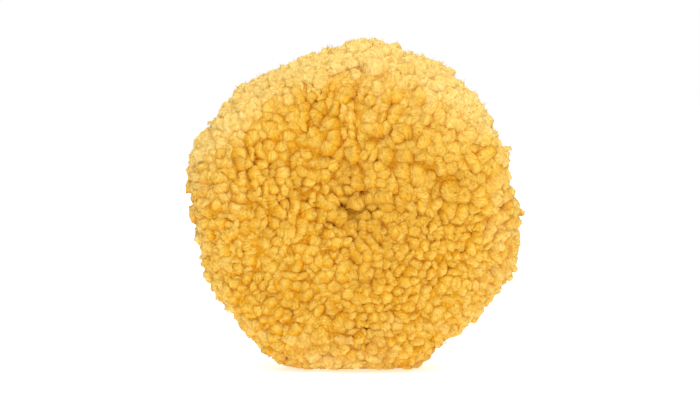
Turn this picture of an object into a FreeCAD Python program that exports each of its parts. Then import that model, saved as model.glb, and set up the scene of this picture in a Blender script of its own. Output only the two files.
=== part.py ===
"""Double-sided wool polishing pad, standing on its rim.

Two tufted discs are sewn together face to face around the edge and turned right side out through a
slit in the front disc, which is then sewn shut. A riveted steel hub clamps the layers at the centre,
and its eyelet is the bore that the polisher's adapter goes through.

Millimetres. The origin is the centre of the hub, +Y points from the front face to the rear face, and
+Z is up. "r" is always the distance from the hub's axis, and "depth" the distance from the mid-plane.
"""

import FreeCAD
import Part
import math
import os

# Overall sizes
PAD_DIAMETER = 230.0        # over the tips of the wool
PILE_LENGTH = 25.0          # cut wool above the backing cloth
FOOT_PRESS = 3.0            # how far the wool gives where the pad stands
EDGE_ROUND = 29.0           # how far in from the rim the flat working face starts
RIM_OVERHANG = 23.0         # wool that stands out past the cloth

# Backing cloth and its seams
CLOTH_THICKNESS = 1.2
THREAD_DIAMETER = 0.9
LEG_DIAMETER = 0.8
LIP_WIDTH = 8.0             # cloth turned in at the rim
RIM_STITCHES = 72
SLIT_WIDTH = 0.6
SLIT_INSET = 7.0            # from the hub washer's edge to the slit's inner end
CLOSING_THREAD_DIAMETER = 0.8
CLOSING_STITCH_LENGTH = 4.6
CLOSING_STITCH_PITCH = 4.5
PARTING_WIDTH = 0.8         # gap between the wool on the two sides of the slit

# Hub hardware
BORE_DIAMETER = 16.0
EYELET_WALL = 1.2
EYELET_FLANGE_WIDTH = 3.4
EYELET_FLANGE_THICKNESS = 1.2
EYELET_EDGE_ROUND = 0.5
WASHER_THICKNESS = 1.5
WASHER_EDGE = 3.0           # from the rivet heads to the washer's edge
WASHER_ROUND = 0.6
RIVET_COUNT = 6
RIVET_SHANK_DIAMETER = 3.2
RIVET_HEAD_DIAMETER = 6.2
RIVET_HEAD_HEIGHT = 0.9
RIVET_EYE_DIAMETER = 1.8    # hollow end of a tubular rivet
RIVET_EYE_DEPTH = 1.4
HEAD_GAP = 1.4              # between the eyelet's flange and the rivet heads
SPACER_EDGE = 7.0           # from the washer's edge to the spacer's edge

# Wool
ROOT_CLEARANCE = 1.5        # bare cloth around the hub washer
MOUTH_CLEARANCE = 2.0       # from the bore's wall to the innermost wool tips
MOUTH_DIP = 4.0             # how far the wool sinks in at the centre
HUB_BAND = 11.5             # rows of tufts that lean in over the hub, at their roots
HUB_LEAN = 3.0
RIM_BAND = 12.0             # rows of tufts that splay out over the rim, at their roots
RIM_LEAN = 4.0

# Fits
RUN_CLEARANCE = 0.1         # around the eyelet's barrel and in the thread's needle holes
RIVET_CLEARANCE = 0.05
ZONE_GAP = 0.2              # between one zone of wool and the next
CORE_CLEARANCE = 2.0        # from the felt to the turned-in lip
ELLIPSE_POLE = 0.5523       # pole length of a quarter ellipse drawn as a Bezier curve

# Derived sizes
PAD_R = PAD_DIAMETER / 2
FLOOR_Z = -(PAD_R - FOOT_PRESS)
THREAD_GAP = THREAD_DIAMETER + RUN_CLEARANCE
CORE_DEPTH = CLOTH_THICKNESS + THREAD_GAP           # half the thickness of the felt
CLOTH_DEPTH = CORE_DEPTH + CLOTH_THICKNESS          # the cloth's outer side
FACE_DEPTH = CLOTH_DEPTH + PILE_LENGTH              # the flat working face
CLOTH_R = PAD_R - RIM_OVERHANG
LIP_R = CLOTH_R - LIP_WIDTH
STITCH_R = CLOTH_R - LIP_WIDTH / 2
PLATEAU_R = PAD_R - EDGE_ROUND

BORE_R = BORE_DIAMETER / 2
BARREL_R = BORE_R + EYELET_WALL
FLANGE_R = BARREL_R + EYELET_FLANGE_WIDTH
RIVET_CIRCLE_R = FLANGE_R + HEAD_GAP + RIVET_HEAD_DIAMETER / 2
WASHER_R = RIVET_CIRCLE_R + RIVET_HEAD_DIAMETER / 2 + WASHER_EDGE
WASHER_DEPTH = CLOTH_DEPTH + WASHER_THICKNESS
FLANGE_DEPTH = WASHER_DEPTH + EYELET_FLANGE_THICKNESS
SPACER_R = WASHER_R + SPACER_EDGE

HUB_ROOT_R = WASHER_R + ROOT_CLEARANCE
HUB_ZONE_R = HUB_ROOT_R + HUB_BAND
MOUTH_R = BORE_R + MOUTH_CLEARANCE
RIM_ZONE_R = CLOTH_R - RIM_BAND
SLIT_IN = WASHER_R + SLIT_INSET
SLIT_OUT = LIP_R - CORE_CLEARANCE

FRONT = -1                  # the side of the mid-plane that a piece lies on, along Y
REAR = 1
HUB_AXIS = FreeCAD.Vector(0, 1, 0)
ORIGIN = FreeCAD.Vector(0, 0, 0)


def section_point(r, depth, side):
    """A point of a half section: r out from the axis, depth out from the mid-plane."""
    return FreeCAD.Vector(r, side * depth, 0)


def turned(edges):
    """The solid that a closed half section makes, turned once round the hub's axis."""
    face = Part.Face(Part.Wire(Part.__sortEdges__(edges)))
    solid = face.revolve(ORIGIN, HUB_AXIS, 360)
    return solid if solid.Volume > 0 else solid.reversed()


def polygon_edges(points):
    """Straight edges through points, not closed."""
    return [Part.makeLine(a, b) for a, b in zip(points, points[1:])]


def turned_polygon(corners, side):
    """A turned solid whose half section is the polygon with these (r, depth) corners."""
    points = [section_point(r, depth, side) for r, depth in corners]
    return turned(polygon_edges(points + points[:1]))


def ring(r_in, r_out, depth_in, depth_out, side):
    """A flat ring between two radii and two depths."""
    corners = [(r_in, depth_in), (r_out, depth_in), (r_out, depth_out), (r_in, depth_out)]
    return turned_polygon(corners, side)


def peg(r, x, z, depth_from, depth_to, side):
    """A cylinder parallel to the hub's axis."""
    start = FreeCAD.Vector(x, side * depth_from, z)
    direction = HUB_AXIS * (side if depth_to > depth_from else -side)
    return Part.makeCylinder(r, abs(depth_to - depth_from), start, direction)


def places_on_circle(r, count):
    """(x, z) of evenly spaced places on a circle round the hub's axis."""
    angles = [2 * math.pi * (i + 0.5) / count for i in range(count)]
    return [(r * math.cos(a), r * math.sin(a)) for a in angles]


def rivet_holes(depth):
    """The six rivet holes as one tool, through everything up to this depth on both sides."""
    r = RIVET_SHANK_DIAMETER / 2 + RIVET_CLEARANCE
    holes = [peg(r, x, z, -depth, depth, REAR) for x, z in rivet_places()]
    return Part.makeCompound(holes)


def rivet_places():
    return places_on_circle(RIVET_CIRCLE_R, RIVET_COUNT)


def stitch_places():
    return places_on_circle(STITCH_R, RIM_STITCHES)


def closing_stitch_heights():
    """The z of each stitch that closes the slit."""
    count = int((SLIT_OUT - SLIT_IN) / CLOSING_STITCH_PITCH)
    start = (SLIT_IN + SLIT_OUT - (count - 1) * CLOSING_STITCH_PITCH) / 2
    return [start + i * CLOSING_STITCH_PITCH for i in range(count)]


def slot_above_hub(width, z_from, z_to, depth_from, depth_to):
    """An upright box on the front side, centred on the slit's line."""
    corner = FreeCAD.Vector(-width / 2, -depth_to, z_from)
    return Part.makeBox(width, depth_to - depth_from, z_to - z_from, corner)


# Cloth

def backing_cloth(side):
    """One woven backing disc, with its edge turned in between the two discs."""
    fold = CLOTH_DEPTH / 2
    inner_fold = THREAD_GAP / 2
    bore = BARREL_R + RUN_CLEARANCE
    fold_r = CLOTH_R - fold

    def at(r, depth):
        return section_point(r, depth, side)

    outer_arc = Part.Arc(at(fold_r, CLOTH_DEPTH), at(CLOTH_R, fold), at(fold_r, 0)).toShape()
    inner_arc = Part.Arc(
        at(fold_r, CLOTH_THICKNESS), at(fold_r + inner_fold, fold), at(fold_r, CORE_DEPTH)
    ).toShape()
    edges = [Part.makeLine(at(bore, CLOTH_DEPTH), at(fold_r, CLOTH_DEPTH)), outer_arc]
    edges += polygon_edges([at(fold_r, 0), at(LIP_R, 0), at(LIP_R, CLOTH_THICKNESS),
                            at(fold_r, CLOTH_THICKNESS)])
    edges += [inner_arc]
    edges += polygon_edges([at(fold_r, CORE_DEPTH), at(bore, CORE_DEPTH), at(bore, CLOTH_DEPTH)])
    cloth = turned(edges).cut(rivet_holes(WASHER_DEPTH))
    needle_r = LEG_DIAMETER / 2 + RUN_CLEARANCE
    needle_holes = [peg(needle_r, x, z, -1, CLOTH_THICKNESS + THREAD_GAP / 2, side)
                    for x, z in stitch_places()]
    return cloth.cut(Part.makeCompound(needle_holes))


def front_backing_cloth():
    """The front disc also has the slit that the pad was turned through, and its needle holes."""
    slit = slot_above_hub(SLIT_WIDTH, SLIT_IN, SLIT_OUT, CORE_DEPTH - 1, CLOTH_DEPTH + 1)
    hole_r = CLOSING_THREAD_DIAMETER / 2 + RUN_CLEARANCE
    reach = CLOSING_STITCH_LENGTH / 2
    holes = [peg(hole_r, x, z, CORE_DEPTH - 1, CLOTH_DEPTH + 1, FRONT)
             for z in closing_stitch_heights() for x in (-reach, reach)]
    return backing_cloth(FRONT).cut(Part.makeCompound([slit] + holes))


def felt_core():
    """Soft felt that fills the space between the two cloths, out to the turned-in lips."""
    return ring(SPACER_R + RUN_CLEARANCE, LIP_R - CORE_CLEARANCE, -CORE_DEPTH, CORE_DEPTH, REAR)


# Threads

def rim_thread(side):
    """One thread of the rim's lockstitch: a ring on the lip, with a leg into every needle hole."""
    thread_r = THREAD_DIAMETER / 2
    depth = CLOTH_THICKNESS + thread_r
    centre = FreeCAD.Vector(0, side * depth, 0)
    loop = Part.makeTorus(STITCH_R, thread_r, centre, HUB_AXIS)
    legs = [peg(LEG_DIAMETER / 2, x, z, 0, depth, side) for x, z in stitch_places()]
    return loop.multiFuse(legs)


def closing_stitch(z):
    """One stitch across the slit, with a leg down each needle hole."""
    r = CLOSING_THREAD_DIAMETER / 2
    reach = CLOSING_STITCH_LENGTH / 2
    depth = CLOTH_DEPTH + r
    start = FreeCAD.Vector(-reach, -depth, z)
    bar = Part.makeCylinder(r, CLOSING_STITCH_LENGTH, start, FreeCAD.Vector(1, 0, 0))
    legs = [peg(r, x, z, CORE_DEPTH, depth, FRONT) for x in (-reach, reach)]
    knees = [Part.makeSphere(r, FreeCAD.Vector(x, -depth, z)) for x in (-reach, reach)]
    return bar.multiFuse(legs + knees)


def closing_seam_thread():
    return Part.makeCompound([closing_stitch(z) for z in closing_stitch_heights()])


# Hub hardware

def hub_washer(side):
    """Steel washer that clamps one cloth, rounded where the wool lies over it."""
    blank = ring(BARREL_R + RUN_CLEARANCE, WASHER_R, CLOTH_DEPTH, WASHER_DEPTH, side)
    outer = [e for e in blank.Edges
             if abs(e.BoundBox.XMax - WASHER_R) < 1e-3
             and abs(abs(e.CenterOfMass.y) - WASHER_DEPTH) < 1e-3 and e.Closed]
    return blank.makeFillet(WASHER_ROUND, outer).cut(rivet_holes(FLANGE_DEPTH))


def hub_spacer():
    """Hard fibre ring between the cloths, so that the rivets can be set tight."""
    blank = ring(BARREL_R + RUN_CLEARANCE, SPACER_R, -CORE_DEPTH, CORE_DEPTH, REAR)
    return blank.cut(rivet_holes(CLOTH_DEPTH))


def hub_eyelet():
    """Barrel with a flange at each end, the rear one rolled over when the hub is closed."""
    barrel = ring(BORE_R, BARREL_R, -FLANGE_DEPTH, FLANGE_DEPTH, REAR)
    flanges = [ring(BORE_R, FLANGE_R, WASHER_DEPTH, FLANGE_DEPTH, side) for side in (FRONT, REAR)]
    eyelet = barrel.multiFuse(flanges).removeSplitter()
    rims = [e for e in eyelet.Edges
            if e.Closed and abs(abs(e.CenterOfMass.y) - FLANGE_DEPTH) < 1e-3]
    return eyelet.makeFillet(EYELET_EDGE_ROUND, rims)


def hub_rivet(x, z):
    """One tubular rivet, with a domed head in front and a set end behind."""
    shank = peg(RIVET_SHANK_DIAMETER / 2, x, z, -WASHER_DEPTH, WASHER_DEPTH, REAR)
    solid = shank
    for side in (FRONT, REAR):
        head = peg(RIVET_HEAD_DIAMETER / 2, x, z, WASHER_DEPTH,
                   WASHER_DEPTH + RIVET_HEAD_HEIGHT, side)
        top = [e for e in head.Edges
               if e.Closed and abs(abs(e.CenterOfMass.y) - WASHER_DEPTH - RIVET_HEAD_HEIGHT) < 1e-3]
        solid = solid.fuse(head.makeFillet(RIVET_HEAD_HEIGHT * 0.7, top))
    outer = WASHER_DEPTH + RIVET_HEAD_HEIGHT
    eye = peg(RIVET_EYE_DIAMETER / 2, x, z, outer - RIVET_EYE_DEPTH, outer + 1, REAR)
    return solid.cut(eye)


def hub_rivets():
    return Part.makeCompound([hub_rivet(x, z) for x, z in rivet_places()])


# Wool: plain closed solids of the space that the tufts fill

def parted(wool):
    """Front wool with the parting over the slit, and room at the roots for the closing stitches."""
    parting = slot_above_hub(PARTING_WIDTH, MOUTH_R, SLIT_OUT, CLOTH_DEPTH - 1, FACE_DEPTH + 1)
    tunnel_width = CLOSING_STITCH_LENGTH + 2 * CLOSING_THREAD_DIAMETER
    tunnel_depth = CLOTH_DEPTH + CLOSING_THREAD_DIAMETER + RUN_CLEARANCE
    tunnel = slot_above_hub(tunnel_width, HUB_ROOT_R, SLIT_OUT, CLOTH_DEPTH - 1, tunnel_depth)
    return wool.cut(Part.makeCompound([parting, tunnel]))


def hub_tufts(side):
    """The rows round the hub, which lean in over the washer and leave a narrow mouth."""
    top_r = HUB_ZONE_R - HUB_LEAN
    corners = [(HUB_ROOT_R, CLOTH_DEPTH), (HUB_ZONE_R, CLOTH_DEPTH), (top_r, FACE_DEPTH),
               (MOUTH_R, FACE_DEPTH - MOUTH_DIP)]
    wool = turned_polygon(corners, side)
    return parted(wool) if side == FRONT else wool


def face_tufts(side):
    """The rows of the flat working face."""
    corners = [(HUB_ZONE_R + ZONE_GAP, CLOTH_DEPTH), (RIM_ZONE_R, CLOTH_DEPTH),
               (RIM_ZONE_R + RIM_LEAN, FACE_DEPTH), (HUB_ZONE_R - HUB_LEAN + ZONE_GAP, FACE_DEPTH)]
    wool = turned_polygon(corners, side)
    return parted(wool) if side == FRONT else wool


def rim_tufts(side):
    """The outer rows, which splay over the rim and are pressed flat where the pad stands."""
    fold = CLOTH_DEPTH / 2
    half_gap = ZONE_GAP / 2

    def at(r, depth):
        return section_point(r, depth, side)

    top_r = RIM_ZONE_R + RIM_LEAN + ZONE_GAP
    corner = math.sqrt(0.5) * fold
    fold_arc = Part.Arc(at(CLOTH_R - fold, CLOTH_DEPTH), at(CLOTH_R - fold + corner, fold + corner),
                        at(CLOTH_R, fold)).toShape()
    shoulder = Part.BezierCurve()
    reach = (FACE_DEPTH - half_gap) * ELLIPSE_POLE
    shoulder.setPoles([at(PAD_R, half_gap), at(PAD_R, half_gap + reach),
                       at(PLATEAU_R + EDGE_ROUND * ELLIPSE_POLE, FACE_DEPTH),
                       at(PLATEAU_R, FACE_DEPTH)])
    edges = [Part.makeLine(at(RIM_ZONE_R + ZONE_GAP, CLOTH_DEPTH), at(CLOTH_R - fold, CLOTH_DEPTH)),
             fold_arc]
    edges += polygon_edges([at(CLOTH_R, fold), at(CLOTH_R, half_gap), at(PAD_R, half_gap)])
    edges += [shoulder.toShape()]
    edges += polygon_edges([at(PLATEAU_R, FACE_DEPTH), at(top_r, FACE_DEPTH),
                            at(RIM_ZONE_R + ZONE_GAP, CLOTH_DEPTH)])
    below = Part.makeBox(PAD_DIAMETER, PAD_DIAMETER, PAD_R,
                         FreeCAD.Vector(-PAD_R, -PAD_R, FLOOR_Z - PAD_R))
    return turned(edges).cut(below)


def build():
    """Every node's name and shape."""
    return {
        "front_hub_tufts": hub_tufts(FRONT),
        "front_face_tufts": face_tufts(FRONT),
        "front_rim_tufts": rim_tufts(FRONT),
        "rear_hub_tufts": hub_tufts(REAR),
        "rear_face_tufts": face_tufts(REAR),
        "rear_rim_tufts": rim_tufts(REAR),
        "front_backing_cloth": front_backing_cloth(),
        "rear_backing_cloth": backing_cloth(REAR),
        "felt_core": felt_core(),
        "rim_needle_thread": rim_thread(FRONT),
        "rim_bobbin_thread": rim_thread(REAR),
        "closing_seam_thread": closing_seam_thread(),
        "hub_spacer": hub_spacer(),
        "front_hub_washer": hub_washer(FRONT),
        "rear_hub_washer": hub_washer(REAR),
        "hub_eyelet": hub_eyelet(),
        "hub_rivets": hub_rivets(),
    }


os.makedirs("parts", exist_ok=True)
for node, shape in build().items():
    assert shape.isValid(), node
    shape.exportStep(f"parts/{node}.step")
    box = shape.BoundBox
    print(f"{node}: {len(shape.Solids)} solids, {shape.Volume:.0f} mm3, "
          f"{box.XLength:.1f} x {box.YLength:.1f} x {box.ZLength:.1f} mm")
print(f"washer r {WASHER_R:.2f}, flange depth {FLANGE_DEPTH:.2f}, face depth {FACE_DEPTH:.2f}, "
      f"floor z {FLOOR_Z:.2f}")
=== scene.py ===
"""Looks of a double-sided tufted wool polishing pad that stands on its rim.

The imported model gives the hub, the threads and the sizes. The wool, the cloths and the felt are made
here, each in the space that its plain solid holds. Lengths are in metres unless a name ends in _mm,
the hub's axis runs along Y with the front face towards -Y, and +Z is up.
"""

import logging
import math
import random
from dataclasses import dataclass, field
from enum import Enum

import bmesh
import bpy
import numpy as np
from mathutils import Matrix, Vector, kdtree, noise


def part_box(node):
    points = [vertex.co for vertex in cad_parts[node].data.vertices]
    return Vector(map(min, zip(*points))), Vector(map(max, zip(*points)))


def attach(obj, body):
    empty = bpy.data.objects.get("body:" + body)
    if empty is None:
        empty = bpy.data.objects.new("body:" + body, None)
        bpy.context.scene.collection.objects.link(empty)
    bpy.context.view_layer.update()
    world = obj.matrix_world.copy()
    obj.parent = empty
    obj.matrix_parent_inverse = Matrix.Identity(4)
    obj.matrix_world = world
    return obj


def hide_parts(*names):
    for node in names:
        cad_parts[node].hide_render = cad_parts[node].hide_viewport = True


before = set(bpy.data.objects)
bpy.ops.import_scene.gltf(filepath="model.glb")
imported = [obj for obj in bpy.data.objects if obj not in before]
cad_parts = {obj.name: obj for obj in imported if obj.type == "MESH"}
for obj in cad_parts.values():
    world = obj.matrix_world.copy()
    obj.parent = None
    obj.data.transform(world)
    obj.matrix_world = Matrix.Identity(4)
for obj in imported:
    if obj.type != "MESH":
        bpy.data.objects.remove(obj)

log = logging.getLogger("polishing_pad")

MM = 0.001
BODY = "root"
DEPTH_UNIT = 10 * MM        # way down the pile that reads as 1 in the wool's material
YARN_SCALE = 2600.0         # from metres to the units of the wool's own noise
NOISE_SEED = 5
OUTLINE_STEPS = 16
OUTLINE_ANGLES = np.arange(OUTLINE_STEPS) * math.tau / OUTLINE_STEPS
TINY = 1e-6                 # two places nearer than this are the same place
FLAT_ZERO = 1e-9            # keeps a way of no length from being divided by
NOTHING = 1e-12             # the same, for a direction
SPACER_GAP = 0.1 * MM       # from the fibre ring to the felt
Colour = tuple[float, float, float]
WHITE: Colour = (1.0, 1.0, 1.0)
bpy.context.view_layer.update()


class Side(Enum):
    """The side of the mid-plane that a piece lies on, as its sign along Y."""

    FRONT = -1
    REAR = 1

    @property
    def word(self) -> str:
        """The side's name, as the nodes spell it."""
        return self.name.lower()


class TuftKind(Enum):
    """How the cut end of a tuft has opened."""

    PLAIN = "plain"
    FLUFFY = "fluffy"
    WISP = "wisp"


# Finishes


def grey(level: float) -> Colour:
    """An even grey, from 0 for black to 1 for white."""
    return (level, level, level)


class NodeSketch:
    """Short calls for building one material's nodes."""

    def __init__(self, name: str) -> None:
        """Starts a material that has only a Principled shader and its output."""
        self.material = bpy.data.materials.new(name)
        self.material.use_nodes = True
        self.tree = self.material.node_tree
        self.shader = self.tree.nodes["Principled BSDF"]

    def add(self, kind: str, **values: object) -> bpy.types.Node:
        """Adds a node.

        Args:
            kind: The node's type name, without ShaderNode.
            values: Properties of the node.

        Returns:
            The new node.
        """
        node = self.tree.nodes.new(f"ShaderNode{kind}")
        for key, value in values.items():
            setattr(node, key, value)
        return node

    def link(self, start: bpy.types.NodeSocket, end: bpy.types.NodeSocket) -> None:
        """Joins one socket to another."""
        self.tree.links.new(start, end)

    def set(self, **values: object) -> None:
        """Sets the shader's own sockets, with underscores for the spaces in their names."""
        for key, value in values.items():
            self.shader.inputs[key.replace("_", " ")].default_value = value

    def attribute(self, name: str) -> bpy.types.Node:
        """A node that reads one of the piece's own attributes."""
        return self.add("Attribute", attribute_name=name)

    def noise(self, vector: bpy.types.NodeSocket, scale: float, detail: float = 2.0,
              rough: float = 0.5) -> bpy.types.NodeSocket:
        """A noise pattern on a vector.

        Args:
            vector: The coordinates that it follows.
            scale: Waves for one unit of the vector.
            detail: Octaves.
            rough: How strong each finer octave is.

        Returns:
            The pattern's value.
        """
        node = self.add("TexNoise")
        node.inputs["Scale"].default_value = scale
        node.inputs["Detail"].default_value = detail
        node.inputs["Roughness"].default_value = rough
        self.link(vector, node.inputs["Vector"])
        return node.outputs["Fac"]

    def objects_vector(self, scale: tuple[float, float, float] = (1, 1, 1)) -> bpy.types.NodeSocket:
        """The object's coordinates, stretched by a scale along each axis."""
        mapping = self.add("Mapping")
        mapping.inputs["Scale"].default_value = scale
        self.link(self.add("TexCoord").outputs["Object"], mapping.inputs["Vector"])
        return mapping.outputs["Vector"]

    def ramp(self, value: bpy.types.NodeSocket,
             stops: tuple[tuple[float, Colour], ...]) -> bpy.types.NodeSocket:
        """A colour ramp.

        Args:
            value: What it reads.
            stops: Each place on the ramp, with its colour.

        Returns:
            The ramp's colour.
        """
        node = self.add("ValToRGB")
        ramp = node.color_ramp
        while len(ramp.elements) < len(stops):
            ramp.elements.new(0.5)
        for element, (place, colour) in zip(ramp.elements, stops):
            element.position = place
            element.color = (*colour, 1.0)
        self.link(value, node.inputs["Fac"])
        return node.outputs["Color"]

    def mix(self, kind: str, amount: float | bpy.types.NodeSocket, a: bpy.types.NodeSocket | Colour,
            b: bpy.types.NodeSocket | Colour) -> bpy.types.NodeSocket:
        """Blends two colours.

        Args:
            kind: The blend, such as MIX or MULTIPLY.
            amount: How much of the second there is.
            a: The first colour.
            b: The second colour.

        Returns:
            The blended colour.
        """
        node = self.add("Mix", data_type="RGBA", blend_type=kind)
        inputs = (node.inputs[0], node.inputs[6], node.inputs[7])
        for socket, value in zip(inputs, (amount, a, b)):
            if isinstance(value, bpy.types.NodeSocket):
                self.link(value, socket)
            else:
                socket.default_value = (*value, 1.0) if isinstance(value, tuple) else value
        return node.outputs[2]

    def math(self, operation: str, a: bpy.types.NodeSocket,
             b: float | bpy.types.NodeSocket = 0.0) -> bpy.types.NodeSocket:
        """One sum on one or two values.

        Args:
            operation: The sum's name.
            a: The first value.
            b: The second value, if the sum takes one.

        Returns:
            The sum's result.
        """
        node = self.add("Math", operation=operation)
        self.link(a, node.inputs[0])
        if isinstance(b, bpy.types.NodeSocket):
            self.link(b, node.inputs[1])
        else:
            node.inputs[1].default_value = b
        return node.outputs[0]

    def bump(self, height: bpy.types.NodeSocket, distance: float, strength: float = 1.0) -> None:
        """Adds relief under any relief the shader already has."""
        node = self.add("Bump")
        node.inputs["Distance"].default_value = distance
        node.inputs["Strength"].default_value = strength
        self.link(height, node.inputs["Height"])
        old = self.shader.inputs["Normal"].links
        if old:
            self.link(old[0].from_socket, node.inputs["Normal"])
        self.link(node.outputs["Normal"], self.shader.inputs["Normal"])


@dataclass(frozen=True)
class WoolFinish:
    """Dyed wool yarn, yellow at the cut end, with fibres along each tuft. Its deeper orange down the pile is
    the dye together with painted shade, it has painted shade in the lines between its locks and in the dips
    of its curls, and a painted highlight where its tone is pale at the top and round the rim.
    """

    # Painted shade: the colour turns from yellow to deep orange down the pile, the yarn's dye together with
    # the shade between the tufts.
    by_depth: tuple[tuple[float, Colour], ...] = (
        (0.03, (0.90, 0.59, 0.108)), (0.09, (0.86, 0.51, 0.064)),
        (0.18, (0.78, 0.40, 0.018)), (0.44, (0.68, 0.25, 0.008)),
    )
    # Painted highlight: the pale colour that a high tone brings at the top and round the rim, as well as on
    # tufts that are pale by chance.
    pale: Colour = (1.0, 0.80, 0.32)
    pale_tones: tuple[float, float] = (0.48, 0.95)
    # The duller orange that a low tone brings, on tufts dull by chance and as painted shade where the wool
    # opens and on sunk tufts.
    dull: Colour = (0.76, 0.43, 0.048)
    dull_tones: tuple[float, float] = (0.0, 0.38)
    tint: float = 0.7
    streak: Colour = (0.80, 0.68, 0.44)
    streak_share: float = 0.55
    # Painted shade in the lines between a tuft's locks, where the grooves' relief is lowest.
    groove: Colour = (0.84, 0.68, 0.42)
    groove_share: float = 0.5
    groove_width: float = 0.07
    groove_scale: float = 0.26
    # Painted shade in the dips of the curls, where the curls' relief is lowest.
    curl: Colour = (0.86, 0.70, 0.40)
    curl_share: float = 0.65
    curl_scale: float = 0.30
    fibre_relief: float = 0.30 * MM
    groove_relief: float = 0.60 * MM
    curl_relief: float = 1.10 * MM
    relief: float = 0.55
    curl_strength: float = 0.75

    def material(self) -> bpy.types.Material:
        """Builds the wool's material, which reads the attributes that WoolZone writes."""
        sketch = NodeSketch("dyed_wool")
        strand = sketch.attribute("strand").outputs["Vector"]
        fibres = sketch.noise(strand, 1.0, detail=4.0, rough=0.65)
        groove = self._grooves(sketch, strand)
        curls = sketch.noise(strand, self.curl_scale, detail=2.0, rough=0.55)
        streaks = sketch.ramp(fibres, ((0.30, self.streak), (0.60, WHITE)))
        colour = sketch.mix("MULTIPLY", self.streak_share, self._dye(sketch), streaks)
        # Painted shade: darker in the lines between the locks.
        groove_shade_colour = sketch.ramp(groove, ((0.0, self.groove), (1.0, WHITE)))
        colour = sketch.mix("MULTIPLY", self.groove_share, colour, groove_shade_colour)
        # Painted shade: darker in the dips of the curls.
        curl_shade_colour = sketch.ramp(curls, ((0.34, self.curl), (0.56, WHITE)))
        colour = sketch.mix("MULTIPLY", self.curl_share, colour, curl_shade_colour)
        sketch.link(colour, sketch.shader.inputs["Base Color"])
        sketch.set(Roughness=0.9, Sheen_Weight=0.05, Sheen_Roughness=0.5,
                   Sheen_Tint=(1.0, 0.78, 0.36, 1.0), Specular_IOR_Level=0.08)
        sketch.bump(curls, self.curl_relief, self.curl_strength)
        sketch.bump(groove, self.groove_relief, self.relief)
        sketch.bump(fibres, self.fibre_relief, self.relief)
        return sketch.material

    def _dye(self, sketch: NodeSketch) -> bpy.types.NodeSocket:
        """The yarn's dye with painted shade that turns it deeper orange down the pile, made duller or paler
        by its tone, which also carries painted light and shade.
        """
        depth = sketch.attribute("depth").outputs["Fac"]
        tone = sketch.attribute("tone").outputs["Fac"]
        colour = sketch.ramp(depth, self.by_depth)
        dullest, plain = self.dull_tones
        duller = sketch.ramp(tone, ((dullest, grey(self.tint)), (plain, grey(0.0))))
        colour = sketch.mix("MIX", duller, colour, self.dull)
        plain, palest = self.pale_tones
        paler = sketch.ramp(tone, ((plain, grey(0.0)), (palest, grey(self.tint))))
        return sketch.mix("MIX", paler, colour, self.pale)

    def _grooves(self, sketch: NodeSketch, strand: bpy.types.NodeSocket) -> bpy.types.NodeSocket:
        """The lines between the tuft's locks: 0 in a line, 1 away from it."""
        locks = sketch.noise(strand, self.groove_scale, detail=1.0)
        ridge = sketch.math("ABSOLUTE", sketch.math("SUBTRACT", locks, 0.5))
        lines = sketch.add("MapRange", interpolation_type="SMOOTHSTEP")
        lines.inputs["From Max"].default_value = self.groove_width
        sketch.link(ridge, lines.inputs["Value"])
        return lines.outputs["Result"]


@dataclass(frozen=True)
class ClothFinish:
    """Plain-woven backing cloth."""

    thread: Colour = (0.78, 0.68, 0.48)
    # Painted shade in the gaps where the threads pass under each other, where the weave's relief is lowest.
    gap: Colour = (0.42, 0.33, 0.19)
    pitch: float = 0.0009
    slub_scale: tuple[float, float, float] = (900, 900, 160)
    weave_relief: float = 0.2 * MM
    slub_relief: float = 0.08 * MM

    def material(self) -> bpy.types.Material:
        """Builds an over-and-under weave on the object's X and Z."""
        sketch = NodeSketch("woven_backing")
        size = math.pi / self.pitch
        place = sketch.objects_vector((size, size, size))
        parts = sketch.add("SeparateXYZ")
        sketch.link(place, parts.inputs[0])
        across = sketch.math("SINE", parts.outputs["X"])
        upright = sketch.math("SINE", parts.outputs["Z"])
        weave = sketch.math("ABSOLUTE", sketch.math("MULTIPLY", across, upright))
        slub = sketch.noise(sketch.objects_vector(self.slub_scale), 1.0, detail=3.0)
        # Painted shade: darker in the gaps between the threads.
        colour = sketch.ramp(weave, ((0.02, self.gap), (0.35, self.thread)))
        slub_shade = sketch.ramp(slub, ((0.3, grey(0.7)), (0.7, WHITE)))
        sketch.link(sketch.mix("MULTIPLY", 0.35, colour, slub_shade), sketch.shader.inputs["Base Color"])
        sketch.set(Roughness=0.9, Sheen_Weight=0.15, Specular_IOR_Level=0.2)
        sketch.bump(weave, self.weave_relief)
        sketch.bump(slub, self.slub_relief)
        return sketch.material


@dataclass(frozen=True)
class FeltFinish:
    """Pressed felt with short loose fibres."""

    light: Colour = (0.74, 0.70, 0.60)
    dark: Colour = (0.48, 0.44, 0.36)
    matted_scale: float = 900.0
    mottled_scale: float = 60.0
    relief: float = 0.3 * MM

    def material(self) -> bpy.types.Material:
        """Builds a mottled, matted surface."""
        sketch = NodeSketch("pressed_felt")
        matted = sketch.noise(sketch.objects_vector(), self.matted_scale, detail=5.0, rough=0.7)
        mottled = sketch.noise(sketch.objects_vector(), self.mottled_scale)
        colour = sketch.ramp(matted, ((0.3, self.dark), (0.6, self.light)))
        shade = sketch.ramp(mottled, ((0.35, grey(0.75)), (0.6, WHITE)))
        sketch.link(sketch.mix("MULTIPLY", 0.4, colour, shade), sketch.shader.inputs["Base Color"])
        sketch.set(Roughness=0.95, Sheen_Weight=0.25, Specular_IOR_Level=0.15)
        sketch.bump(matted, self.relief)
        return sketch.material


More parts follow.
